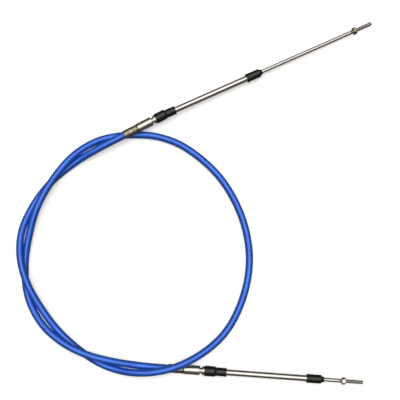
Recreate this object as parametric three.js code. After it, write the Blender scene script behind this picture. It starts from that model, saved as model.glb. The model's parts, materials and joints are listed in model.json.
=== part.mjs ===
import * as THREE from 'three';

// Push-pull boat steering cable. A jacketed conduit lies in a loose loop on the floor, and each
// end of it carries the same set: crimped hub, swivel boot, support sleeve, wiper seal, threaded
// rod and jam nut. Millimetres, +Z up, the floor at z = 0.
// The origin is on the floor below the middle of the two end sets.

// Clearance between pieces that touch or slide on the real cable
const fit = 0.3;

// Conduit and the core cable inside it
const conduitRadius = 4.65;
const linerRadius = 2.6;
const coreRadius = 1.5;
const conduitSides = 10;
const conduitSteps = 72;
const coreSides = 8;
const coreSteps = 80;
const routeDivisions = 1200;

// End rod, its thread and its jam nut
const rodRadius = 2.375;
const rodLength = 183.5;
const threadRadius = 2.3;
const threadLength = 31;
const tipChamfer = 0.6;
const rodTravel = 110.3;
const nutAcrossFlats = 8;
const nutThickness = 4.5;
const nutFromTip = 24.9;

// Support sleeve, measured from the centre of its ball
const sleeveRadius = 3.8;
const sleeveLength = 135;
const ballRadius = 4.1;
const ballRear = 3.0;
const neckRadius = 2.9;
const neckEnd = 7;
const shoulderEnd = 9;
const coreBoreRadius = 1.95;
const rodBoreStart = 11;

// Hub, measured from its rear face
const hubRadius = 5.9;
const crimpRadius = 5.5;
const crimpLength = 20.4;
const crimpRingWidth = 0.9;
const crimpRingDepth = 0.35;
const tailChamfer = 0.7;
const hubLength = 40.7;
const hubChamfer = 0.4;
const grooveRadius = 3.5;
const grooveWidth = 3;
const flangeRadius = 5.6;
const flangeLength = 2.7;
const noseRadius = 5.1;
const noseLength = 13;
const ballStation = 55;
const mouthRadius = 3.75;

// Rubber swivel boot over the nose and the sleeve
const bootRadius = 6.55;
const bootThickLength = 13.1;
const bootStepLength = 2.2;
const bootThinRadius = 5.45;
const bootLength = 28.1;
const bootRounding = 0.7;

// Rubber wiper seal on the sleeve's mouth
const sealRadius = 5.5;
const sealLength = 19;
const sealOverlap = 12.6;
const sealLipRadius = 5.7;
const sealLipWidth = 2.2;
const sealTipRadius = 3.8;
const sealTipEndRadius = 3.4;
const sealTipLength = 3.3;

// Facets around the turned pieces
const around = 24;
const arcSteps = 5;

// Where each end lies: the middle of the hub's rear face, its heading, and how far it dips
const endA = { x: -162.26, y: 83.19, z: 15.7, heading: 27.91, dip: 1.983, deflection: -3.42, extended: rodTravel };
const endB = { x: -104.25, y: -216.04, z: 7.05, heading: -4.17, dip: 0.41, deflection: 0, extended: 0 };

// Straight stretch of conduit behind each hub, and the points that the loop passes between them
const straightA = 15;
const straightB = 20;
const loopPoints = [
  [-197.9, 64.8, 13.4],
  [-227.2, 48.2, 6.2],
  [-258.3, 22.2, 4.9],
  [-280.5, -8.2, 5.3],
  [-293.8, -42.2, 10.0],
  [-294.1, -75.9, 14.3],
  [-284.5, -108.5, 14.7],
  [-267.0, -139.6, 11.2],
  [-243.6, -170.3, 6.2],
  [-209.4, -199.4, 4.9],
  [-178.4, -215.5, 6.2],
  [-142.1, -221.6, 14.2],
  [-101.3, -216.2, 18.1],
  [-62.1, -198.2, 12.6],
  [-30.0, -169.8, 5.8],
  [-7.4, -125.0, 4.8],
  [0.6, -74.2, 4.7],
  [-9.5, -21.1, 4.7],
  [-38.6, 30.8, 4.7],
  [-84.3, 69.8, 4.7],
  [-118.4, 83.0, 4.7],
  [-144.6, 85.6, 4.7],
  [-172.1, 83.8, 4.9],
  [-200.6, 75.7, 7.2],
  [-229.5, 55.3, 13.2],
  [-256.8, 21.1, 14.5],
  [-273.7, -10.9, 14.0],
  [-284.1, -46.1, 9.2],
  [-289.4, -83.2, 5.3],
  [-285.0, -124.5, 5.2],
  [-266.3, -159.3, 9.7],
  [-239.1, -183.1, 13.5],
  [-208.3, -198.3, 14.5],
  [-175.3, -207.1, 12.5],
  [-142.5, -212.6, 7.5],
];

// Finishes
const blueJacket = { color: 0x2a5ac8, roughness: 0.35, metalness: 0 };
const coreSteel = { color: 0x8c8f92, roughness: 0.4, metalness: 1 };
const hubSteel = { color: 0xb9b2a4, roughness: 0.35, metalness: 1 };
const polishedSteel = { color: 0xd6d4d0, roughness: 0.15, metalness: 1 };
const blackRubber = { color: 0x17181a, roughness: 0.55, metalness: 0 };
const oliveZinc = { color: 0x6d6a45, roughness: 0.4, metalness: 1 };

function named(name, geometry, finish) {
  const piece = new THREE.Mesh(geometry, new THREE.MeshStandardMaterial(finish));
  piece.name = name;
  return piece;
}

// Solid of revolution about X from a closed outline of [station, radius] pairs
function turned(outline) {
  const profile = outline.map(([station, radius]) => new THREE.Vector2(radius, station));
  profile.push(profile[0].clone());
  return new THREE.LatheGeometry(profile, around).rotateZ(-Math.PI / 2);
}

// Points of a round stretch of an outline, from one station of a ball to another
function ballArc(radius, fromStation, toStation, centre = 0) {
  const from = Math.acos(fromStation / radius);
  const to = Math.acos(toStation / radius);
  const points = [];
  for (let step = 0; step <= arcSteps; step += 1) {
    const angle = from + (to - from) * step / arcSteps;
    points.push([centre + radius * Math.cos(angle), radius * Math.sin(angle)]);
  }
  return points;
}

// A regular section, bored if an inner radius is given
function tubeSection(radius, sides, innerRadius) {
  const corner = (r, k) => new THREE.Vector2(
    r * Math.cos(2 * Math.PI * k / sides),
    r * Math.sin(2 * Math.PI * k / sides),
  );
  const corners = (r) => Array.from({ length: sides }, (unused, k) => corner(r, k));
  const section = new THREE.Shape(corners(radius));
  if (innerRadius) {
    section.holes.push(new THREE.Path(corners(innerRadius)));
  }
  return section;
}

// Direction that an end's pieces point in, out along its axis
function headingOf(end, extraHeading = 0) {
  const heading = THREE.MathUtils.degToRad(end.heading + extraHeading);
  const dip = THREE.MathUtils.degToRad(end.dip);
  return new THREE.Vector3(
    Math.cos(heading) * Math.cos(dip),
    Math.sin(heading) * Math.cos(dip),
    -Math.sin(dip),
  );
}

function hubPoint(end, station) {
  const rear = new THREE.Vector3(end.x, end.y, end.z);
  return rear.addScaledVector(headingOf(end), station);
}

function sleevePoint(end, station) {
  return hubPoint(end, ballStation).addScaledVector(headingOf(end, end.deflection), station);
}

// Where a rod's inner end lies along its sleeve when the rod is pushed right in
const rodInnerEnd = rodBoreStart + fit;

function makeConduitRoute() {
  const route = [hubPoint(endA, -fit), hubPoint(endA, -straightA)];
  for (const [x, y, z] of loopPoints) {
    route.push(new THREE.Vector3(x, y, z));
  }
  route.push(hubPoint(endB, -straightB), hubPoint(endB, -fit));
  const curve = new THREE.CatmullRomCurve3(route);
  curve.arcLengthDivisions = routeDivisions;
  return curve;
}

function makeConduit(route) {
  const section = tubeSection(conduitRadius, conduitSides, linerRadius);
  const geometry = new THREE.ExtrudeGeometry(section, {
    steps: conduitSteps,
    extrudePath: route,
    bevelEnabled: false,
  });
  return named('conduit', geometry, blueJacket);
}

// The core runs from one rod's inner end to the other's, through sleeves, hubs and conduit
function makeCore(route) {
  const rodEndA = sleevePoint(endA, rodInnerEnd + endA.extended - fit);
  const rodEndB = sleevePoint(endB, rodInnerEnd + endB.extended - fit);
  const path = new THREE.CurvePath();
  path.add(new THREE.LineCurve3(rodEndA, sleevePoint(endA, 0)));
  path.add(new THREE.LineCurve3(sleevePoint(endA, 0), route.getPoint(0)));
  path.add(route);
  path.add(new THREE.LineCurve3(route.getPoint(1), sleevePoint(endB, 0)));
  path.add(new THREE.LineCurve3(sleevePoint(endB, 0), rodEndB));
  path.arcLengthDivisions = routeDivisions;
  const geometry = new THREE.ExtrudeGeometry(tubeSection(coreRadius, coreSides), {
    steps: coreSteps,
    extrudePath: path,
    bevelEnabled: false,
  });
  return named('core_cable', geometry, coreSteel);
}

// Where the boot's end butts on the hub, past the clip groove and its flange
const flangeEnd = hubLength + grooveWidth + flangeLength;
const noseEnd = flangeEnd + noseLength;

// Crimped tail, ring, clip groove, flange, and a nose that is hollowed for the sleeve's ball
function makeHub(name) {
  const socketRadius = ballRadius + fit;
  const flangeStart = hubLength + grooveWidth;
  const ringStart = crimpLength - crimpRingWidth;
  const socketRear = -Math.sqrt(socketRadius ** 2 - coreBoreRadius ** 2);
  const socketFront = Math.sqrt(socketRadius ** 2 - mouthRadius ** 2);
  const outline = [
    [0, coreBoreRadius],
    [0, crimpRadius - tailChamfer],
    [tailChamfer, crimpRadius],
    [ringStart, crimpRadius],
    [ringStart, crimpRadius - crimpRingDepth],
    [crimpLength, crimpRadius - crimpRingDepth],
    [crimpLength, hubRadius],
    [hubLength - hubChamfer, hubRadius],
    [hubLength, hubRadius - hubChamfer],
    [hubLength, grooveRadius],
    [flangeStart, grooveRadius],
    [flangeStart, flangeRadius],
    [flangeEnd, flangeRadius],
    [flangeEnd, noseRadius],
    [noseEnd, noseRadius],
    [noseEnd, mouthRadius],
    ...ballArc(socketRadius, socketFront, socketRear, ballStation),
  ];
  return named(name, turned(outline), hubSteel);
}

// Turns the part of a piece past a station about the ball's centre, easing in up to a second one
function bendAtBall(geometry, deflection, from, to) {
  const place = geometry.attributes.position;
  for (let k = 0; k < place.count; k += 1) {
    const ahead = place.getX(k) - ballStation;
    const side = place.getY(k);
    const share = THREE.MathUtils.clamp((place.getX(k) - from) / (to - from), 0, 1);
    const angle = THREE.MathUtils.degToRad(deflection) * share;
    place.setX(k, ballStation + ahead * Math.cos(angle) - side * Math.sin(angle));
    place.setY(k, ahead * Math.sin(angle) + side * Math.cos(angle));
  }
  return geometry;
}

// Boot that grips the nose and follows the sleeve, so it is bent where the swivel is turned
function makeBoot(name, deflection) {
  const start = flangeEnd + fit;
  const thickEnd = start + bootThickLength;
  const thinStart = thickEnd + bootStepLength;
  const end = start + bootLength;
  const noseClear = noseEnd + fit;
  const noseBore = noseRadius + fit;
  const sleeveBore = sleeveRadius + fit;
  const outline = [
    [start, noseBore],
    [start, bootRadius - bootRounding],
    [start + bootRounding, bootRadius],
    [thickEnd, bootRadius],
    [thinStart, bootThinRadius],
    [end - bootRounding, bootThinRadius],
    [end, bootThinRadius - bootRounding],
    [end, sleeveBore],
    [noseClear + bootStepLength, sleeveBore],
    [noseClear, noseBore],
  ];
  const geometry = bendAtBall(turned(outline), deflection, noseClear - fit, noseClear + bootStepLength);
  return named(name, geometry, blackRubber);
}

function makeSleeve(name) {
  const rodBore = rodRadius + fit;
  const neckStart = Math.sqrt(ballRadius ** 2 - neckRadius ** 2);
  const outline = [
    [-ballRear, coreBoreRadius],
    ...ballArc(ballRadius, -ballRear, neckStart),
    [neckEnd, neckRadius],
    [shoulderEnd, sleeveRadius],
    [sleeveLength, sleeveRadius],
    [sleeveLength, rodBore],
    [rodBoreStart, rodBore],
    [rodBoreStart, coreBoreRadius],
  ];
  return named(name, turned(outline), polishedSteel);
}

function makeSeal(name) {
  const start = sleeveLength - sealOverlap;
  const bodyEnd = start + sealLength;
  const tipEnd = bodyEnd + sealTipLength;
  const sleeveBore = sleeveRadius + fit;
  const rodBore = rodRadius + fit;
  const outline = [
    [start, sleeveBore],
    [start, sealLipRadius],
    [start + sealLipWidth, sealLipRadius],
    [start + sealLipWidth, sealRadius],
    [bodyEnd, sealRadius],
    [bodyEnd, sealTipRadius],
    [tipEnd, sealTipEndRadius],
    [tipEnd, rodBore],
    [sleeveLength + fit, rodBore],
    [sleeveLength + fit, sleeveBore],
  ];
  return named(name, turned(outline), blackRubber);
}

// Rod from its inner end, with a slightly smaller threaded stretch and a chamfered tip
function makeRod(name) {
  const threadStart = rodLength - threadLength;
  const outline = [
    [0, 0],
    [0, rodRadius],
    [threadStart, rodRadius],
    [threadStart, threadRadius],
    [rodLength - tipChamfer, threadRadius],
    [rodLength, threadRadius - tipChamfer],
    [rodLength, 0],
  ];
  return named(name, turned(outline), polishedSteel);
}

// Hexagon nut lying on one flat, bored for the thread
function makeNut(name, finish) {
  const cornerRadius = nutAcrossFlats / 2 / Math.cos(Math.PI / 6);
  const section = tubeSection(cornerRadius, 6);
  const bore = tubeSection(threadRadius + fit, around);
  section.holes.push(new THREE.Path(bore.getPoints()));
  const geometry = new THREE.ExtrudeGeometry(section, { depth: nutThickness, bevelEnabled: false });
  geometry.translate(0, 0, -nutThickness / 2);
  geometry.rotateY(Math.PI / 2);
  geometry.rotateX(Math.PI / 2);
  return named(name, geometry, finish);
}

// One whole end set in nested groups: hub and boot, then the swivelling sleeve, then the rod
function makeEnd(end, letter, nutFinish) {
  const slide = new THREE.Group();
  slide.position.x = rodInnerEnd + end.extended;
  const nut = makeNut(`jam_nut_${letter}`, nutFinish);
  nut.position.x = rodLength - nutFromTip;
  slide.add(makeRod(`rod_${letter}`), nut);

  const swivel = new THREE.Group();
  swivel.add(makeSleeve(`sleeve_${letter}`), makeSeal(`wiper_seal_${letter}`), slide);

  const hub = new THREE.Group();
  hub.add(makeHub(`hub_${letter}`), makeBoot(`swivel_boot_${letter}`, end.deflection));

  aim(hub, hubPoint(end, 0), headingOf(end));
  aim(swivel, sleevePoint(end, 0), headingOf(end, end.deflection));
  const set = new THREE.Group();
  set.add(hub, swivel);
  return set;
}

// Lays a group's X axis along a direction and keeps its Y axis level
function aim(group, position, direction) {
  const level = new THREE.Vector3(-direction.y, direction.x, 0).normalize();
  const up = new THREE.Vector3().crossVectors(direction, level);
  group.setRotationFromMatrix(new THREE.Matrix4().makeBasis(direction, level, up));
  group.position.copy(position);
}

const cable = new THREE.Group();
const route = makeConduitRoute();
cable.add(makeConduit(route), makeCore(route));
cable.add(makeEnd(endA, 'a', oliveZinc), makeEnd(endB, 'b', polishedSteel));

export default cable;
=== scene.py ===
import json
import math

import bmesh
import bpy
from mathutils import Matrix, Vector


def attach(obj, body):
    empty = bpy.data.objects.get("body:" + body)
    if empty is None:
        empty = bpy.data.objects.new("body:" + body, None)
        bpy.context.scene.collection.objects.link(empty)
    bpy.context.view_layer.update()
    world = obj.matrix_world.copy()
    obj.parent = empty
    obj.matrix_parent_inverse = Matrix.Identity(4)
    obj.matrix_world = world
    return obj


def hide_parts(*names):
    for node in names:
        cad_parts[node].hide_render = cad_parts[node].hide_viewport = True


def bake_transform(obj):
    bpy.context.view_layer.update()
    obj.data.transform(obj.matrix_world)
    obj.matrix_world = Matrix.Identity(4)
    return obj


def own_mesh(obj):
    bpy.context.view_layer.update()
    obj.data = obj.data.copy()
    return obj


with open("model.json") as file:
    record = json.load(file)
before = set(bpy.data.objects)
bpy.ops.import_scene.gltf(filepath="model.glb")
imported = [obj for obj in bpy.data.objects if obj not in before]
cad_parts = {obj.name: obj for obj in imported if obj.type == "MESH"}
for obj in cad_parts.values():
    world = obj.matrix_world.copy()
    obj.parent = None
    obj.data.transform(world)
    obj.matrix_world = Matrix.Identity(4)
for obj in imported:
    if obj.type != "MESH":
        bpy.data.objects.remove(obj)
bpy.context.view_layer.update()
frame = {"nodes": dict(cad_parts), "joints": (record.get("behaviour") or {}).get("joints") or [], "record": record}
mm = 0.001
joints = {joint["name"]: joint for joint in frame["joints"]}
mounts = {mount["name"]: mount for mount in frame["record"]["mounts"]}
print("frame loaded with", len(frame["nodes"]), "solids")


# Camera, almost straight above the cable as in the photograph

camera = {
    "lookAt": (-63.37, 0.35, 0),
    "distance": 1234,
    "tilt": 5.5,
    "lens": 85,
    "sensor": 36,
}


def makeCamera(settings):
    data = bpy.data.cameras.new("topCamera")
    data.lens = settings["lens"]
    data.sensor_width = settings["sensor"]
    data.clip_start = 0.01
    data.clip_end = 20
    view = bpy.data.objects.new("topCamera", data)
    tilt = math.radians(settings["tilt"])
    away = Vector((0, -math.sin(tilt), math.cos(tilt))) * settings["distance"]
    view.location = (Vector(settings["lookAt"]) + away) * mm
    view.rotation_euler = (tilt, 0, 0)
    bpy.context.scene.collection.objects.link(view)
    bpy.context.scene.camera = view


makeCamera(camera)
print("camera placed")


# Node helpers for the finishes

def addNode(tree, kind, **values):
    # plain keywords set the node itself, and names that start with in_ set its sockets
    node = tree.nodes.new(kind)
    for key, value in values.items():
        if key.startswith("in_"):
            node.inputs[key[3:].replace("_", " ")].default_value = value
        else:
            setattr(node, key, value)
    return node


def plug(tree, source, target):
    tree.links.new(source, target)


def startMaterial(name, color, roughness, metallic=0.0):
    material = bpy.data.materials.new(name)
    material.use_nodes = True
    tree = material.node_tree
    shader = tree.nodes["Principled BSDF"]
    shader.inputs["Base Color"].default_value = (*color, 1)
    shader.inputs["Roughness"].default_value = roughness
    shader.inputs["Metallic"].default_value = metallic
    return material, tree, shader


def pieceCoordinates(tree, scale=(1, 1, 1)):
    # the place of a point along and about its own piece's axis, kept on the mesh
    place = addNode(tree, "ShaderNodeAttribute", attribute_name="onPiece").outputs["Vector"]
    mapping = addNode(tree, "ShaderNodeMapping", in_Scale=scale)
    plug(tree, place, mapping.inputs["Vector"])
    return mapping.outputs["Vector"]


def noise(tree, vector, scale, detail=3.0, roughness=0.55):
    node = addNode(
        tree, "ShaderNodeTexNoise", in_Scale=scale, in_Detail=detail, in_Roughness=roughness
    )
    plug(tree, vector, node.inputs["Vector"])
    return node.outputs["Fac"]


def remap(tree, value, low, high, toLow, toHigh):
    node = addNode(tree, "ShaderNodeMapRange")
    limits = {"From Min": low, "From Max": high, "To Min": toLow, "To Max": toHigh}
    for socket, number in limits.items():
        node.inputs[socket].default_value = number
    plug(tree, value, node.inputs["Value"])
    return node.outputs["Result"]


def blendColors(tree, share, first, second):
    node = addNode(tree, "ShaderNodeMix", data_type="RGBA")
    for socket, source in ((node.inputs[6], first), (node.inputs[7], second)):
        if isinstance(source, tuple):
            socket.default_value = (*source, 1)
        else:
            plug(tree, source, socket)
    plug(tree, share, node.inputs[0])
    return node.outputs[2]


def compute(tree, kind, first, second):
    node = addNode(tree, "ShaderNodeMath", operation=kind)
    for socket, source in zip(node.inputs, (first, second)):
        if isinstance(source, (int, float)):
            socket.default_value = source
        else:
            plug(tree, source, socket)
    return node.outputs[0]


def bump(tree, shader, height, distance, strength=1.0, under=None):
    node = addNode(tree, "ShaderNodeBump", in_Strength=strength, in_Distance=distance)
    plug(tree, height, node.inputs["Height"])
    if under:
        plug(tree, under, node.inputs["Normal"])
    plug(tree, node.outputs["Normal"], shader.inputs["Normal"])
    return node.outputs["Normal"]


def stationOf(tree):
    own = addNode(tree, "ShaderNodeAttribute", attribute_name="onPiece")
    parts = addNode(tree, "ShaderNodeSeparateXYZ")
    plug(tree, own.outputs["Vector"], parts.inputs["Vector"])
    return parts.outputs["X"], parts.outputs["Y"], parts.outputs["Z"]


# Blue jacket: extruded plastic that shows the lay of the wires under it

jacket = {
    "deep": (0.008, 0.088, 0.510),
    "fresh": (0.016, 0.124, 0.670),
    "roughness": (0.24, 0.34),
    "pearl": 0.36,
    "gloss": 0.85,
    "cloudScale": 28,
    "wires": 22,
    "layLength": 95,
    "layDepth": 0.035,
    "ripplePitch": 1.7,
    "rippleDepth": 0.03,
    "grainScale": 1400,
    "grainDepth": 0.02,
    "grainRange": (0.3, 0.7),
    "wireTint": 0.22,
    # how much the ripples' painted shade and highlight move the colour
    "rippleShadeTint": 0.3,
    "tintRange": (0.42, 0.92),
}


def jacketMaterial(settings):
    low, high = settings["roughness"]
    material, tree, shader = startMaterial("blueJacket", settings["deep"], low, settings["pearl"])
    shader.inputs["Specular IOR Level"].default_value = settings["gloss"]
    clouds = noise(tree, pieceCoordinates(tree), settings["cloudScale"])
    station, across, up = stationOf(tree)
    angle = compute(tree, "ARCTAN2", up, across)
    # the wires run round the liner once in each lay length
    turns = compute(tree, "MULTIPLY", station, 2 * math.pi / (settings["layLength"] * mm))
    lay = compute(tree, "MULTIPLY", compute(tree, "ADD", angle, turns), settings["wires"])
    wave = remap(tree, compute(tree, "SINE", lay, 0), -1, 1, 0, 1)
    # the extruder leaves fine ripples across the jacket, stronger in some places than in others; their light and
    # shade is also painted into the colour
    beat = compute(tree, "MULTIPLY", station, 2 * math.pi / (settings["ripplePitch"] * mm))
    swell = remap(tree, compute(tree, "SINE", beat, 0), -1, 1, 0, 1)
    ripple = compute(tree, "MULTIPLY", swell, clouds)
    tint = compute(tree, "ADD", compute(tree, "MULTIPLY", wave, settings["wireTint"]), clouds)
    # painted shade and highlight of the ripples: the colour darkens and lightens with them
    tint = compute(tree, "ADD", compute(tree, "MULTIPLY", ripple, settings["rippleShadeTint"]), tint)
    share = remap(tree, tint, *settings["tintRange"], 0, 1)
    tone = blendColors(tree, share, settings["deep"], settings["fresh"])
    plug(tree, tone, shader.inputs["Base Color"])
    grain = noise(tree, pieceCoordinates(tree, (0.25, 1, 1)), settings["grainScale"])
    plug(tree, remap(tree, grain, *settings["grainRange"], low, high), shader.inputs["Roughness"])
    fine = bump(tree, shader, grain, settings["grainDepth"] * mm, 0.5)
    rippled = bump(tree, shader, ripple, settings["rippleDepth"] * mm, 1.0, fine)
    bump(tree, shader, wave, settings["layDepth"] * mm, 1.0, rippled)
    return material


# Steel of the hubs, sleeves and rods

steels = {
    "hubSteel": {
        "color": (0.56, 0.55, 0.52),
        "stained": (0.47, 0.44, 0.38),
        "dull": (0.34, 0.32, 0.26),
        "burnt": (0.17, 0.155, 0.115),
        "stainEnds": 20.4,
        # colour of the painted shade over the ring's groove
        "ringShade": (0.05, 0.045, 0.035),
        "dullness": 0.20,
        "roughness": (0.16, 0.28),
        "markDepth": 0.006,
        "markScale": 900,
    },
    "sleeveSteel": {
        "color": (0.60, 0.59, 0.57),
        "stained": (0.53, 0.50, 0.46),
        "stainEnds": 0,
        "roughness": (0.08, 0.17),
        "markDepth": 0.002,
        "markScale": 700,
    },
    "rodSteel": {
        "color": (0.56, 0.55, 0.53),
        "stained": (0.49, 0.47, 0.43),
        "stainEnds": 0,
        "roughness": (0.09, 0.18),
        "markDepth": 0.002,
        "markScale": 900,
    },
    "coreSteel": {
        "color": (0.42, 0.42, 0.42),
        "stained": (0.30, 0.29, 0.27),
        "stainEnds": 0,
        "roughness": (0.25, 0.40),
        "markDepth": 0.006,
        "markScale": 900,
    },
}


wearAndRingShade = {
    "cloudScale": 130,
    "stainRange": (0.40, 0.72),
    "wornRange": (0.35, 0.65),
    "edgeWander": 2,
    "edgeFade": 1.2,
    "blotchScale": 420,
    "blotchRange": (0.42, 0.62),
    # where the painted shade band over the ring's groove lies
    "ringBack": 0.45,
    "ringHalf": 0.35,
    "ringFade": 0.6,
}


def steelMaterial(name, settings):
    low, high = settings["roughness"]
    material, tree, shader = startMaterial(name, settings["color"], low, 1.0)
    clouds = noise(tree, pieceCoordinates(tree, (0.6, 1, 1)), wearAndRingShade["cloudScale"], 4.0)
    # marks left by turning and polishing run round the piece
    marks = noise(tree, pieceCoordinates(tree, (1, 0.03, 0.03)), settings["markScale"], 5.0, 0.7)
    stains = remap(tree, clouds, *wearAndRingShade["stainRange"], 0, 1)
    tone = blendColors(tree, stains, settings["color"], settings["stained"])
    worn = compute(tree, "MULTIPLY", compute(tree, "ADD", marks, clouds), 0.5)
    gloss = remap(tree, worn, *wearAndRingShade["wornRange"], low, high)
    if settings["stainEnds"]:
        # the swaged tail is mottled, and its ring gets a painted shade
        tone, swaged = swagedTailAndRingShade(tree, tone, clouds, settings)
        gloss = compute(tree, "ADD", gloss, compute(tree, "MULTIPLY", swaged, settings["dullness"]))
    plug(tree, tone, shader.inputs["Base Color"])
    plug(tree, gloss, shader.inputs["Roughness"])
    bump(tree, shader, marks, settings["markDepth"] * mm, 0.7)
    return material


def swagedTailAndRingShade(tree, tone, clouds, settings):
    # the tail is mottled and dull up to its ring, and the ring's groove gets a painted shade: a dark band in the
    # colour
    station = stationOf(tree)[0]
    tailEnd = settings["stainEnds"]
    wander = compute(tree, "MULTIPLY", clouds, wearAndRingShade["edgeWander"] * mm)
    edge = compute(tree, "ADD", station, wander)
    swaged = remap(tree, edge, tailEnd * mm, (tailEnd + wearAndRingShade["edgeFade"]) * mm, 1, 0)
    blotches = noise(tree, pieceCoordinates(tree), wearAndRingShade["blotchScale"], 4.0)
    share = remap(tree, blotches, *wearAndRingShade["blotchRange"], 0, 1)
    mottled = blendColors(tree, share, settings["burnt"], settings["dull"])
    tone = blendColors(tree, swaged, tone, mottled)
    # painted shade: the colour goes dark over the ring's groove, where shade falls
    fromRing = compute(tree, "SUBTRACT", station, (tailEnd - wearAndRingShade["ringBack"]) * mm)
    offRing = compute(tree, "ABSOLUTE", fromRing, 0)
    ringShadeMask = remap(tree, offRing, wearAndRingShade["ringHalf"] * mm, wearAndRingShade["ringFade"] * mm, 1, 0)
    return blendColors(tree, ringShadeMask, tone, settings["ringShade"]), swaged


# Plated nuts

platings = {
    "oliveZinc": {
        "color": (0.120, 0.112, 0.060),
        "pale": (0.26, 0.24, 0.15),
        "roughness": (0.30, 0.45),
    },
    "brightZinc": {
        "color": (0.40, 0.40, 0.38),
        "pale": (0.62, 0.61, 0.58),
        "roughness": (0.24, 0.36),
    },
}
spangles = {
    "scale": 900,
    "paleRange": (0.42, 0.70),
    "glossRange": (0.3, 0.7),
    "depth": 0.01,
}


def zincMaterial(name, settings):
    low, high = settings["roughness"]
    material, tree, shader = startMaterial(name, settings["color"], low, 1.0)
    spangle = noise(tree, pieceCoordinates(tree), spangles["scale"], 4.0)
    share = remap(tree, spangle, *spangles["paleRange"], 0, 1)
    tone = blendColors(tree, share, settings["color"], settings["pale"])
    plug(tree, tone, shader.inputs["Base Color"])
    gloss = remap(tree, spangle, *spangles["glossRange"], high, low)
    plug(tree, gloss, shader.inputs["Roughness"])
    bump(tree, shader, spangle, spangles["depth"] * mm, 0.6)
    return material


# Moulded rubber of the boots and seals

rubber = {
    "color": (0.004, 0.004, 0.004),
    "dusty": (0.012, 0.012, 0.012),
    "roughness": (0.22, 0.33),
    "gloss": 0.45,
    "dustScale": 260,
    "dustRange": (0.45, 0.75),
    "glossRange": (0.3, 0.7),
    "grainScale": 3200,
    "grainDepth": 0.010,
}


def rubberMaterial(settings):
    low, high = settings["roughness"]
    material, tree, shader = startMaterial("blackRubber", settings["color"], low)
    shader.inputs["Specular IOR Level"].default_value = settings["gloss"]
    dust = noise(tree, pieceCoordinates(tree), settings["dustScale"], 4.0)
    grain = noise(tree, pieceCoordinates(tree), settings["grainScale"])
    share = remap(tree, dust, *settings["dustRange"], 0, 1)
    tone = blendColors(tree, share, settings["color"], settings["dusty"])
    plug(tree, tone, shader.inputs["Base Color"])
    gloss = remap(tree, dust, *settings["glossRange"], low, high)
    plug(tree, gloss, shader.inputs["Roughness"])
    bump(tree, shader, grain, settings["grainDepth"] * mm, 0.6)
    return material


finishes = {"blueJacket": jacketMaterial(jacket), "blackRubber": rubberMaterial(rubber)}
for finishName, finishSettings in steels.items():
    finishes[finishName] = steelMaterial(finishName, finishSettings)
for finishName, finishSettings in platings.items():
    finishes[finishName] = zincMaterial(finishName, finishSettings)
print("finishes made:", ", ".join(finishes))


# Mesh helpers. Pieces are drawn in millimetres in their own frame, with X along their axis

def axisFrame(origin, direction):
    along = Vector(direction).normalized()
    level = Vector((-along.y, along.x, 0)).normalized()
    place = Matrix((along, level, along.cross(level))).transposed().to_4x4()
    place.translation = origin
    return place


def ringOf(station, radius, sides, radiusAt=None):
    ring = []
    for k in range(sides):
        angle = 2 * math.pi * k / sides
        reach = radiusAt(station, angle, radius) if radiusAt else radius
        ring.append(Vector((station, reach * math.cos(angle), reach * math.sin(angle))))
    return ring


def softened(outline, steps=4):
    # a corner given with a third number is rounded off over that length
    points = []
    for k, corner in enumerate(outline):
        here = Vector(corner[:2])
        if len(corner) < 3:
            points.append(here)
            continue
        before = Vector(outline[k - 1][:2]) - here
        after = Vector(outline[(k + 1) % len(outline)][:2]) - here
        first = here + before.normalized() * min(corner[2], before.length / 2)
        last = here + after.normalized() * min(corner[2], after.length / 2)
        for step in range(steps + 1):
            t = step / steps
            points.append(first.lerp(here, t).lerp(here.lerp(last, t), t))
    return points


def divided(points, longest):
    # long stretches of an outline get points between their ends
    result = []
    for k, here in enumerate(points):
        after = points[(k + 1) % len(points)]
        pieces = max(1, math.ceil((after - here).length / longest))
        result.extend(here.lerp(after, step / pieces) for step in range(pieces))
    return result


def skin(name, rings, place, closed=True, shapeBy=None):
    # joins rings of points one after another; a closed skin joins its last ring to its first
    count = len(rings[0])
    own = [point for ring in rings for point in ring]
    shaped = [shapeBy(point) for point in own] if shapeBy else own
    faces = []
    for k in range(len(rings) if closed else len(rings) - 1):
        here, following = k * count, (k + 1) % len(rings) * count
        for j in range(count):
            after = (j + 1) % count
            faces.append((here + j, here + after, following + after, following + j))
    mesh = bpy.data.meshes.new(name)
    mesh.from_pydata([place @ (point * mm) for point in shaped], [], faces)
    onPiece = mesh.attributes.new("onPiece", "FLOAT_VECTOR", "POINT")
    onPiece.data.foreach_set("vector", [number * mm for point in own for number in point])
    return cleaned(name, mesh)


meshing = {
    "weldWithin": 0.002,
    "sharpAngle": 38,
}


def cleaned(name, mesh):
    work = bmesh.new()
    work.from_mesh(mesh)
    bmesh.ops.remove_doubles(work, verts=work.verts, dist=meshing["weldWithin"] * mm)
    bmesh.ops.recalc_face_normals(work, faces=work.faces)
    work.to_mesh(mesh)
    work.free()
    mesh.shade_smooth()
    mesh.set_sharp_from_angle(angle=math.radians(meshing["sharpAngle"]))
    piece = bpy.data.objects.new(name, mesh)
    bpy.context.scene.collection.objects.link(piece)
    return piece


def turned(name, outline, place, sides=64, radiusAt=None, shapeBy=None, longest=6):
    points = divided(softened(outline), longest)
    rings = [ringOf(point.x, point.y, sides, radiusAt) for point in points]
    return skin(name, rings, place, shapeBy=shapeBy)


def fit(piece, node, finish, body=None):
    # a piece takes the place of its solid, and is attached to its body if it has one
    piece.data.materials.append(finishes[finish])
    if body:
        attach(piece, body)
    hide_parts(node)


# Where the two ends lie: middle of the hub's rear face in mm, heading and dip in degrees

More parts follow.
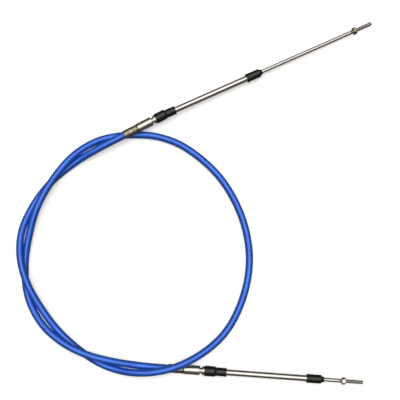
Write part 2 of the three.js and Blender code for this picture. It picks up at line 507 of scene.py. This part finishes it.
ends = {
    "a": {
        "rear": (-162.26, 83.19, 15.7),
        "heading": 27.91,
        "dip": 1.983,
        "straight": 15,
        "nut": "oliveZinc",
    },
    "b": {
        "rear": (-104.25, -216.04, 7.05),
        "heading": -4.17,
        "dip": 0.41,
        "straight": 20,
        "nut": "brightZinc",
    },
}


def hubFrame(end):
    heading, dip = math.radians(end["heading"]), math.radians(end["dip"])
    direction = (
        math.cos(heading) * math.cos(dip),
        math.sin(heading) * math.cos(dip),
        -math.sin(dip),
    )
    return axisFrame(Vector(end["rear"]) * mm, direction)


for letter, end in ends.items():
    end["hub"] = hubFrame(end)
    slideAxis = joints[f"rod_{letter}_slide"]["axis"]
    end["ball"] = Vector(joints[f"swivel_{letter}"]["pos_m"])
    end["sleeve"] = axisFrame(end["ball"], slideAxis)
    end["tip"] = axisFrame(Vector(mounts[f"rod_end_{letter}"]["pos_m"]), slideAxis)


# Conduit: one length of jacketed cable along the route of its solid

conduit = {
    "radius": 4.65,
    "bore": 2.6,
    "sides": 40,
    "boreSides": 12,
    "ringEvery": 2.0,
    "neckRadius": 4.2,
    "neckLength": 1.4,
    "intoHub": 1.5,
    "outOfHub": -0.3,
    "loopPoints": [
        (-197.9, 64.8, 13.4), (-227.2, 48.2, 6.2), (-258.3, 22.2, 4.9), (-280.5, -8.2, 5.3),
        (-293.8, -42.2, 10.0), (-294.1, -75.9, 14.3), (-284.5, -108.5, 14.7), (-267.0, -139.6, 11.2),
        (-243.6, -170.3, 6.2), (-209.4, -199.4, 4.9), (-178.4, -215.5, 6.2), (-142.1, -221.6, 14.2),
        (-101.3, -216.2, 18.1), (-62.1, -198.2, 12.6), (-30.0, -169.8, 5.8), (-7.4, -125.0, 4.8),
        (0.6, -74.2, 4.7), (-9.5, -21.1, 4.7), (-38.6, 30.8, 4.7), (-84.3, 69.8, 4.7),
        (-118.4, 83.0, 4.7), (-144.6, 85.6, 4.7), (-172.1, 83.8, 4.9), (-200.6, 75.7, 7.2),
        (-229.5, 55.3, 13.2), (-256.8, 21.1, 14.5), (-273.7, -10.9, 14.0), (-284.1, -46.1, 9.2),
        (-289.4, -83.2, 5.3), (-285.0, -124.5, 5.2), (-266.3, -159.3, 9.7), (-239.1, -183.1, 13.5),
        (-208.3, -198.3, 14.5), (-175.3, -207.1, 12.5), (-142.5, -212.6, 7.5),
    ],
}


def smoothLine(points, perSpan=40):
    # centripetal curve through the points, as the solid's route is
    chain = [points[0] * 2 - points[1], *points, points[-1] * 2 - points[-2]]
    line = []
    for before, here, after, last in zip(chain, chain[1:], chain[2:], chain[3:]):
        d0 = math.sqrt((here - before).length)
        d1 = math.sqrt((after - here).length)
        d2 = math.sqrt((last - after).length)
        leave = ((here - before) / d0 - (after - before) / (d0 + d1) + (after - here) / d1) * d1
        arrive = ((after - here) / d1 - (last - here) / (d1 + d2) + (last - after) / d2) * d1
        for step in range(perSpan):
            t = step / perSpan
            line.append(
                here * (2 * t**3 - 3 * t**2 + 1)
                + leave * (t**3 - 2 * t**2 + t)
                + after * (3 * t**2 - 2 * t**3)
                + arrive * (t**3 - t**2)
            )
    return line + [points[-1]]


def evenly(line, spacing):
    # the line's points at even steps, with the length run at each
    total = sum((b - a).length for a, b in zip(line, line[1:]))
    count = round(total / spacing)
    result, run, k = [(line[0], 0.0)], 0.0, 0
    for step in range(1, count):
        target = total * step / count
        while run + (line[k + 1] - line[k]).length < target:
            run += (line[k + 1] - line[k]).length
            k += 1
        share = (target - run) / (line[k + 1] - line[k]).length
        result.append((line[k].lerp(line[k + 1], share), target))
    return result + [(line[-1], total)]


def hubSpot(letter, station):
    return ends[letter]["hub"] @ Vector((station * mm, 0, 0)) / mm


def makeConduit(settings):
    route = [hubSpot("a", settings["outOfHub"]), hubSpot("a", -ends["a"]["straight"])]
    route += [Vector(point) for point in settings["loopPoints"]]
    route += [hubSpot("b", -ends["b"]["straight"]), hubSpot("b", settings["outOfHub"])]
    line = [hubSpot("a", settings["intoHub"]), *smoothLine(route), hubSpot("b", settings["intoHub"])]
    stops = evenly(line, settings["ringEvery"])
    total = stops[-1][1]
    fromEnd = settings["intoHub"]

    def across(k):
        before, after = stops[max(k - 1, 0)][0], stops[min(k + 1, len(stops) - 1)][0]
        along = (after - before).normalized()
        side = Vector((-along.y, along.x, 0)).normalized()
        return side, along.cross(side)

    def ring(k, radius, sides):
        centre, run = stops[k]
        side, up = across(k)
        places, own = [], []
        for j in range(sides):
            angle = 2 * math.pi * j / sides
            y, z = radius * math.cos(angle), radius * math.sin(angle)
            places.append((centre + side * y + up * z) * mm)
            own.append((run * mm, y * mm, z * mm))
        return places, own

    def outerRadius(run):
        # the jacket is squeezed where it goes into a hub
        clear = min(run, total - run) - fromEnd
        share = min(max(clear / settings["neckLength"], 0), 1)
        share = share * share * (3 - 2 * share)
        return settings["neckRadius"] + (settings["radius"] - settings["neckRadius"]) * share

    places, own, faces = [], [], []

    def tube(radiusOf, sides):
        first = len(places)
        for k in range(len(stops)):
            ringPlaces, ringOwn = ring(k, radiusOf(stops[k][1]), sides)
            places.extend(ringPlaces)
            own.extend(ringOwn)
        for k in range(len(stops) - 1):
            here = first + k * sides
            for j in range(sides):
                after = (j + 1) % sides
                faces.append((here + j, here + after, here + sides + after, here + sides + j))
        return first

    outer = tube(outerRadius, settings["sides"])
    inner = tube(lambda run: settings["bore"], settings["boreSides"])
    mesh = bpy.data.meshes.new("blueConduit")
    mesh.from_pydata(places, [], faces)
    mesh.attributes.new("onPiece", "FLOAT_VECTOR", "POINT").data.foreach_set(
        "vector", [number for point in own for number in point]
    )
    # close both ends between the jacket and its bore
    work = bmesh.new()
    work.from_mesh(mesh)
    work.verts.ensure_lookup_table()
    work.edges.ensure_lookup_table()

    def rimOf(first, sides, last):
        return {work.verts[first + last * sides + j] for j in range(sides)}

    for last in (0, len(stops) - 1):
        rim = rimOf(outer, settings["sides"], last) | rimOf(inner, settings["boreSides"], last)
        edges = [edge for edge in work.edges if edge.is_boundary and set(edge.verts) <= rim]
        bmesh.ops.bridge_loops(work, edges=edges)
    work.to_mesh(mesh)
    work.free()
    return cleaned("blueConduit", mesh), total, [centre * mm for centre, run in stops]


conduitPiece, conduitLength, conduitRoute = makeConduit(conduit)
fit(conduitPiece, "conduit", "blueJacket", "conduit_and_hubs")
print("conduit laid,", round(conduitLength), "mm long")


# Hub: crimped tail, ring, clip groove and a nose with the ball's socket

hub = {
    "radius": 5.9,
    "crimpRadius": 5.5,
    "crimpLength": 20.4,
    "ringWidth": 0.9,
    "ringDepth": 0.35,
    "length": 40.7,
    "grooveRadius": 3.5,
    "grooveWidth": 3,
    "flangeRadius": 5.6,
    "flangeLength": 2.7,
    "noseRadius": 5.1,
    "noseLength": 13,
    "ballStation": 55,
    "socketRadius": 4.4,
    "mouthRadius": 3.75,
    "coreBore": 1.95,
    "counterbore": 4.4,
    "counterboreDepth": 2.4,
    "tailChamfer": 0.7,
    "flats": 6,
    "flatDistance": 5.3,
    "flatsFrom": 3.0,
    "flatsTo": 16.5,
    "flatFade": 1.5,
}
hub["flangeStart"] = hub["length"] + hub["grooveWidth"]
hub["flangeEnd"] = hub["flangeStart"] + hub["flangeLength"]
hub["noseEnd"] = hub["flangeEnd"] + hub["noseLength"]


def arcOf(radius, fromStation, toStation, centre=0.0, steps=12):
    first, last = math.acos(fromStation / radius), math.acos(toStation / radius)
    points = []
    for step in range(steps + 1):
        angle = first + (last - first) * step / steps
        points.append((centre + radius * math.cos(angle), radius * math.sin(angle)))
    return points


def crimped(station, angle, radius):
    # the swaging dies leave faint flats on the tail
    if radius < hub["crimpRadius"] - 0.01 or station > hub["flatsTo"]:
        return radius
    edge = min(station - hub["flatsFrom"], hub["flatsTo"] - station) / hub["flatFade"]
    share = min(max(edge, 0), 1)
    turn = 2 * math.pi / hub["flats"]
    flat = hub["flatDistance"] / math.cos(angle % turn - turn / 2)
    return radius + (min(radius, flat) - radius) * share * share * (3 - 2 * share)


def hubOutline():
    ringStart = hub["crimpLength"] - hub["ringWidth"]
    ringRadius = hub["crimpRadius"] - hub["ringDepth"]
    socketRear = -math.sqrt(hub["socketRadius"] ** 2 - hub["coreBore"] ** 2)
    socketFront = math.sqrt(hub["socketRadius"] ** 2 - hub["mouthRadius"] ** 2)
    return [
        (hub["counterboreDepth"], hub["coreBore"]),
        (hub["counterboreDepth"], hub["counterbore"]),
        (0, hub["counterbore"], 0.12),
        (0, hub["crimpRadius"] - hub["tailChamfer"], 0.2),
        (hub["tailChamfer"], hub["crimpRadius"], 0.5),
        (ringStart, hub["crimpRadius"], 0.12),
        (ringStart, ringRadius, 0.08),
        (hub["crimpLength"], ringRadius, 0.08),
        (hub["crimpLength"], hub["radius"], 0.30),
        (hub["length"], hub["radius"], 0.40),
        (hub["length"], hub["grooveRadius"], 0.20),
        (hub["flangeStart"], hub["grooveRadius"], 0.20),
        (hub["flangeStart"], hub["flangeRadius"], 0.30),
        (hub["flangeEnd"], hub["flangeRadius"], 0.25),
        (hub["flangeEnd"], hub["noseRadius"], 0.10),
        (hub["noseEnd"], hub["noseRadius"], 0.30),
        (hub["noseEnd"], hub["mouthRadius"], 0.15),
        *arcOf(hub["socketRadius"], socketFront, socketRear, hub["ballStation"]),
    ]


for letter, end in ends.items():
    piece = turned(f"hubBody_{letter}", hubOutline(), end["hub"], 72, crimped, longest=1.5)
    fit(piece, f"hub_{letter}", "hubSteel", "conduit_and_hubs")
print("hubs made")


# Boot: grips the nose, and bends with the sleeve past the ball

boot = {
    "clearance": 0.3,
    "radius": 6.55,
    "thickEnd": 59.8,
    "stepLength": 2.2,
    "waistRadius": 5.15,
    "waistLength": 1.6,
    "thinRadius": 5.4,
    "beadRadius": 5.55,
    "beadLength": 1.6,
    "beadSlope": 0.5,
    "end": 74.8,
    "noseBore": 5.4,
    "sleeveBore": 4.1,
    "bendLength": 4,
}


def bootOutline():
    start = hub["flangeEnd"] + boot["clearance"]
    thinStart = boot["thickEnd"] + boot["stepLength"]
    clear = hub["noseEnd"] + boot["clearance"]
    beadStart = boot["end"] - boot["beadLength"]
    return [
        (start, boot["noseBore"]),
        (start, boot["radius"], 0.7),
        (boot["thickEnd"], boot["radius"], 0.8),
        (thinStart, boot["waistRadius"], 0.9),
        (thinStart + boot["waistLength"], boot["thinRadius"], 0.8),
        (beadStart - boot["beadSlope"], boot["thinRadius"], 0.3),
        (beadStart, boot["beadRadius"], 0.3),
        (boot["end"], boot["beadRadius"], 0.55),
        (boot["end"], boot["sleeveBore"], 0.2),
        (clear + boot["stepLength"], boot["sleeveBore"], 0.4),
        (clear, boot["noseBore"], 0.4),
    ]


def bendFor(end):
    # turns what is past the nose about the ball, as far as the sleeve is turned at rest
    direction = end["hub"].to_3x3().inverted() @ end["sleeve"].to_3x3().col[0]
    deflection = math.atan2(direction.y, direction.x)
    first, last = hub["noseEnd"], hub["noseEnd"] + boot["clearance"] + boot["stepLength"]

    def bend(point):
        share = min(max((point.x - first) / (last - first), 0), 1)
        angle = deflection * share * share * (3 - 2 * share)
        ahead = point.x - hub["ballStation"]
        return Vector((
            hub["ballStation"] + ahead * math.cos(angle) - point.y * math.sin(angle),
            ahead * math.sin(angle) + point.y * math.cos(angle),
            point.z,
        ))

    return bend


for letter, end in ends.items():
    piece = turned(f"swivelBoot_{letter}", bootOutline(), end["hub"], 64, None, bendFor(end), 0.8)
    fit(piece, f"swivel_boot_{letter}", "blackRubber")
    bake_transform(piece)
print("boots made")


# Sleeve: polished tube with a ball-shaped inner end, stations from the ball's centre

sleeve = {
    "radius": 3.8,
    "length": 135,
    "ballRadius": 4.1,
    "ballRear": -3.0,
    "neckRadius": 2.9,
    "neckEnd": 7,
    "shoulderEnd": 9,
    "coreBore": 1.95,
    "rodBore": 2.675,
    "rodBoreStart": 11,
}


def sleeveOutline():
    neckStart = math.sqrt(sleeve["ballRadius"] ** 2 - sleeve["neckRadius"] ** 2)
    return [
        (sleeve["ballRear"], sleeve["coreBore"]),
        *arcOf(sleeve["ballRadius"], sleeve["ballRear"], neckStart),
        (sleeve["neckEnd"], sleeve["neckRadius"]),
        (sleeve["shoulderEnd"], sleeve["radius"], 0.3),
        (sleeve["length"], sleeve["radius"], 0.35),
        (sleeve["length"], sleeve["rodBore"], 0.2),
        (sleeve["rodBoreStart"], sleeve["rodBore"]),
        (sleeve["rodBoreStart"], sleeve["coreBore"]),
    ]


for letter, end in ends.items():
    piece = turned(f"supportSleeve_{letter}", sleeveOutline(), end["sleeve"], 72)
    fit(piece, f"sleeve_{letter}", "sleeveSteel", f"swivel_sleeve_{letter}")
print("sleeves made")


# Wiper seal on the sleeve's mouth

seal = {
    "start": 122.4,
    "lipRadius": 5.7,
    "lipLength": 2.2,
    "lipSlope": 0.5,
    "radius": 5.5,
    "bodyEnd": 141.0,
    "collarRadius": 3.8,
    "collarStart": 141.9,
    "tipRadius": 3.4,
    "end": 144.7,
    "sleeveBore": 4.1,
    "rodBore": 2.6,
    "clearance": 0.3,
}


def sealOutline():
    lipEnd = seal["start"] + seal["lipLength"]
    inside = sleeve["length"] + seal["clearance"]
    return [
        (seal["start"], seal["sleeveBore"]),
        (seal["start"], seal["lipRadius"], 0.55),
        (lipEnd, seal["lipRadius"], 0.5),
        (lipEnd + seal["lipSlope"], seal["radius"], 0.4),
        (seal["bodyEnd"], seal["radius"], 0.9),
        (seal["collarStart"], seal["collarRadius"], 0.5),
        (seal["end"], seal["tipRadius"], 0.5),
        (seal["end"], seal["rodBore"], 0.15),
        (inside, seal["rodBore"]),
        (inside, seal["sleeveBore"]),
    ]


for letter, end in ends.items():
    piece = turned(f"wiperSeal_{letter}", sealOutline(), end["sleeve"], 64, longest=1.5)
    fit(piece, f"wiper_seal_{letter}", "blackRubber", f"swivel_sleeve_{letter}")
print("seals made")


# End rod, stations back from its tip, with a cut thread

rod = {
    "radius": 2.375,
    "length": 183.5,
    "threadLength": 31,
    "crest": 2.36,
    "root": 1.90,
    "pitch": 0.794,
    "perPitch": 10,
    "sides": 36,
    "tipChamfer": 0.6,
    "rearChamfer": 0.3,
    "runOut": 1.2,
    "threadStep": 0.15,
}


def threadRings():
    count = round(rod["threadLength"] / rod["pitch"] * rod["perPitch"])
    rings = []
    for k in range(count + 1):
        back = rod["threadLength"] * (1 - k / count)  # distance left to the tip
        fade = min(1, (rod["threadLength"] - back) / rod["runOut"])
        ring = []
        for j in range(rod["sides"]):
            angle = 2 * math.pi * j / rod["sides"]
            turn = (back / rod["pitch"] + j / rod["sides"]) % 1
            height = min(1, max(0, 1.25 * abs(2 * turn - 1) - 0.125))  # flats at root and crest
            radius = rod["crest"] - (rod["crest"] - rod["root"]) * (1 - height) * fade
            radius = min(radius, rod["crest"] - rod["tipChamfer"] + back)
            ring.append(Vector((-back, radius * math.cos(angle), radius * math.sin(angle))))
        rings.append(ring)
    return rings


def makeRod(name, place):
    start, chamfer = -rod["length"], rod["rearChamfer"]
    rings = [ringOf(start, 0, rod["sides"]), ringOf(start, rod["radius"] - chamfer, rod["sides"])]
    rings.append(ringOf(start + chamfer, rod["radius"], rod["sides"]))
    rings.append(ringOf(-rod["threadLength"] - rod["threadStep"], rod["radius"], rod["sides"]))
    rings += threadRings()
    rings.append(ringOf(0, 0, rod["sides"]))
    return skin(name, rings, place, closed=False)


for letter, end in ends.items():
    piece = makeRod(f"endRod_{letter}", end["tip"])
    fit(piece, f"rod_{letter}", "rodSteel", f"end_rod_{letter}")
print("rods made")


# Jam nut: hexagon with both faces chamfered, bored and countersunk

nut = {
    "acrossFlats": 8,
    "thickness": 4.5,
    "fromTip": 24.9,
    "faceRadius": 3.8,
    "bore": 2.45,
    "countersink": 0.35,
    "sides": 72,
}


def nutRings(cornerAngle):
    half = nut["thickness"] / 2
    wide = nut["bore"] + nut["countersink"]

    def hexRadius(angle):
        return nut["acrossFlats"] / 2 / math.cos((angle - cornerAngle) % (math.pi / 3) - math.pi / 6)

    def hexRing(side):
        ring = []
        for k in range(nut["sides"]):
            angle = cornerAngle + 2 * math.pi * k / nut["sides"]
            radius = hexRadius(angle)
            cut = (radius - nut["faceRadius"]) * math.tan(math.radians(30))
            ring.append(Vector((
                side * (half - cut), radius * math.cos(angle), radius * math.sin(angle)
            )))
        return ring

    def roundRing(station, radius):
        return [
            Vector((station, radius * math.cos(angle), radius * math.sin(angle)))
            for angle in (cornerAngle + 2 * math.pi * k / nut["sides"] for k in range(nut["sides"]))
        ]

    return [
        roundRing(-half + nut["countersink"], nut["bore"]),
        roundRing(-half, wide),
        roundRing(-half, nut["faceRadius"]),
        hexRing(-1),
        hexRing(1),
        roundRing(half, nut["faceRadius"]),
        roundRing(half, wide),
        roundRing(half - nut["countersink"], nut["bore"]),
    ]


def cornerOf(node, place):
    # angle of one corner of the nut's solid about its axis
    inward = place.inverted()
    places = [inward @ vertex.co for vertex in node.data.vertices]
    corner = max(places, key=lambda point: math.hypot(point.y, point.z))
    return math.atan2(corner.z, corner.y)


for letter, end in ends.items():
    middle = end["tip"] @ Vector((-nut["fromTip"] * mm, 0, 0))
    place = axisFrame(middle, end["tip"].to_3x3().col[0])
    cornerAngle = cornerOf(frame["nodes"][f"jam_nut_{letter}"], place)
    piece = skin(f"jamNut_{letter}", nutRings(cornerAngle), place)
    fit(piece, f"jam_nut_{letter}", end["nut"], f"nut_{letter}")
print("nuts made")


# Core: it turns at the balls, so it is one piece in the conduit and one in each sleeve

core = {
    "radius": 1.5,
    "sides": 16,
    "gap": 0.3,
}


def makeCore(name, line):
    around = [2 * math.pi * j / core["sides"] for j in range(core["sides"])]
    rings = [[line[0]] * core["sides"]]
    for k, here in enumerate(line):
        along = (line[min(k + 1, len(line) - 1)] - line[max(k - 1, 0)]).normalized()
        side = Vector((-along.y, along.x, 0)).normalized() * core["radius"]
        up = along.cross(side)
        rings.append([here + side * math.cos(angle) + up * math.sin(angle) for angle in around])
    rings.append([line[-1]] * core["sides"])
    return skin(name, rings, Matrix.Identity(4), closed=False)


beforeBall = hub["ballStation"] - core["gap"]
coreLine = [hubSpot("a", beforeBall), *[point / mm for point in conduitRoute], hubSpot("b", beforeBall)]
coreInConduit = makeCore("coreInConduit", coreLine)
fit(coreInConduit, "core_cable", "coreSteel", "conduit_and_hubs")
for letter, end in ends.items():
    reach = (end["tip"].translation - end["ball"]).length / mm - rod["length"]
    stations = (core["gap"], reach - core["gap"])
    coreLine = [end["sleeve"] @ Vector((station * mm, 0, 0)) / mm for station in stations]
    piece = makeCore(f"coreEnd_{letter}", coreLine)
    if letter == "a":
        # the rod that comes in pushes the core out of its sleeve
        fit(piece, "core_cable", "coreSteel", "swivel_sleeve_a")
        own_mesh(piece)
    else:
        fit(piece, "core_cable", "coreSteel", "end_rod_b")
print("core made")


# Pale floor and a soft overhead light that falls off towards the horizon

studio = {
    "floorColor": (0.80, 0.80, 0.80),
    "floorGlow": 0.36,
    "floorBounce": (0.16, 0.15, 0.14),
    "floorSize": 8,
    "floorDrop": 0.05,
    "overhead": 4.4,
    "skyStops": [
        # sine of the height above the horizon, brightness
        (0.00, (0.024, 0.021, 0.017)),
        (0.70, (0.040, 0.036, 0.031)),
        (0.86, (0.120, 0.114, 0.105)),
        (0.94, (1.000, 0.990, 0.970)),
    ],
    "lampLeans": 7,  # degrees towards the upper end
    "shine": 1.8,
    "shineStops": [
        # what the steel and the jacket mirror: a wider, softer lamp over a dark room
        (0.00, (0.050, 0.042, 0.033)),
        (0.66, (0.084, 0.074, 0.062)),
        (0.79, (0.310, 0.298, 0.280)),
        (0.89, (1.000, 0.997, 0.990)),
    ],
}


def makeFloor(settings):
    half = settings["floorSize"] / 2
    mesh = bpy.data.meshes.new("studioFloor")
    corners = [(-half, -half, 0), (half, -half, 0), (half, half, 0), (-half, half, 0)]
    mesh.from_pydata(corners, [], [(0, 1, 2, 3)])
    floor = bpy.data.objects.new("studioFloor", mesh)
    bpy.context.scene.collection.objects.link(floor)
    floor.location.z = -settings["floorDrop"] * mm
    mesh.materials.append(floorMaterial(settings))


def floorMaterial(settings):
    # a bright table to look at, which throws little light back on the underside of the cable
    material, tree, shader = startMaterial("paleFloor", settings["floorColor"], 0.9)
    shader.inputs["Emission Color"].default_value = (1, 1, 1, 1)
    shader.inputs["Emission Strength"].default_value = settings["floorGlow"]
    bounce = addNode(tree, "ShaderNodeBsdfDiffuse", in_Color=(*settings["floorBounce"], 1))
    rays = addNode(tree, "ShaderNodeLightPath")
    mixed = addNode(tree, "ShaderNodeMixShader")
    plug(tree, rays.outputs["Is Camera Ray"], mixed.inputs[0])
    plug(tree, bounce.outputs["BSDF"], mixed.inputs[1])
    plug(tree, shader.outputs["BSDF"], mixed.inputs[2])
    plug(tree, mixed.outputs["Shader"], tree.nodes["Material Output"].inputs["Surface"])
    return material


def skyLight(tree, height, stops, strength):
    ramp = addNode(tree, "ShaderNodeValToRGB")
    ramp.color_ramp.interpolation = "EASE"
    marks = ramp.color_ramp.elements
    while len(marks) < len(stops):
        marks.new(0.5)
    for mark, (place, tone) in zip(marks, stops):
        mark.position = place
        mark.color = (*tone, 1)
    plug(tree, height, ramp.inputs["Fac"])
    light = addNode(tree, "ShaderNodeBackground", in_Strength=strength)
    plug(tree, ramp.outputs["Color"], light.inputs["Color"])
    return light.outputs["Background"]


def makeSky(settings):
    world = bpy.data.worlds.new("studioSky")
    world.use_nodes = True
    bpy.context.scene.world = world
    tree = world.node_tree
    tree.nodes.clear()
    # how squarely a direction faces the lamp, which leans a little from straight overhead
    lean = math.radians(settings["lampLeans"])
    where = addNode(tree, "ShaderNodeTexCoord")
    facing = addNode(tree, "ShaderNodeVectorMath", operation="DOT_PRODUCT")
    plug(tree, where.outputs["Generated"], facing.inputs[0])
    facing.inputs[1].default_value = (0, math.sin(lean), math.cos(lean))
    height = facing.outputs["Value"]
    cast = skyLight(tree, height, settings["skyStops"], settings["overhead"])
    mirrored = skyLight(tree, height, settings["shineStops"], settings["shine"])
    # the camera sees a white backdrop where the floor ends
    seen = addNode(tree, "ShaderNodeBackground", in_Color=(1, 1, 1, 1)).outputs["Background"]
    rays = addNode(tree, "ShaderNodeLightPath")
    light = cast
    for kind, other in (("Is Glossy Ray", mirrored), ("Is Camera Ray", seen)):
        mixed = addNode(tree, "ShaderNodeMixShader")
        plug(tree, rays.outputs[kind], mixed.inputs[0])
        plug(tree, light, mixed.inputs[1])
        plug(tree, other, mixed.inputs[2])
        light = mixed.outputs["Shader"]
    output = addNode(tree, "ShaderNodeOutputWorld")
    plug(tree, light, output.inputs["Surface"])


makeFloor(studio)
makeSky(studio)
bpy.context.scene.view_settings.view_transform = "Standard"
print("studio set")
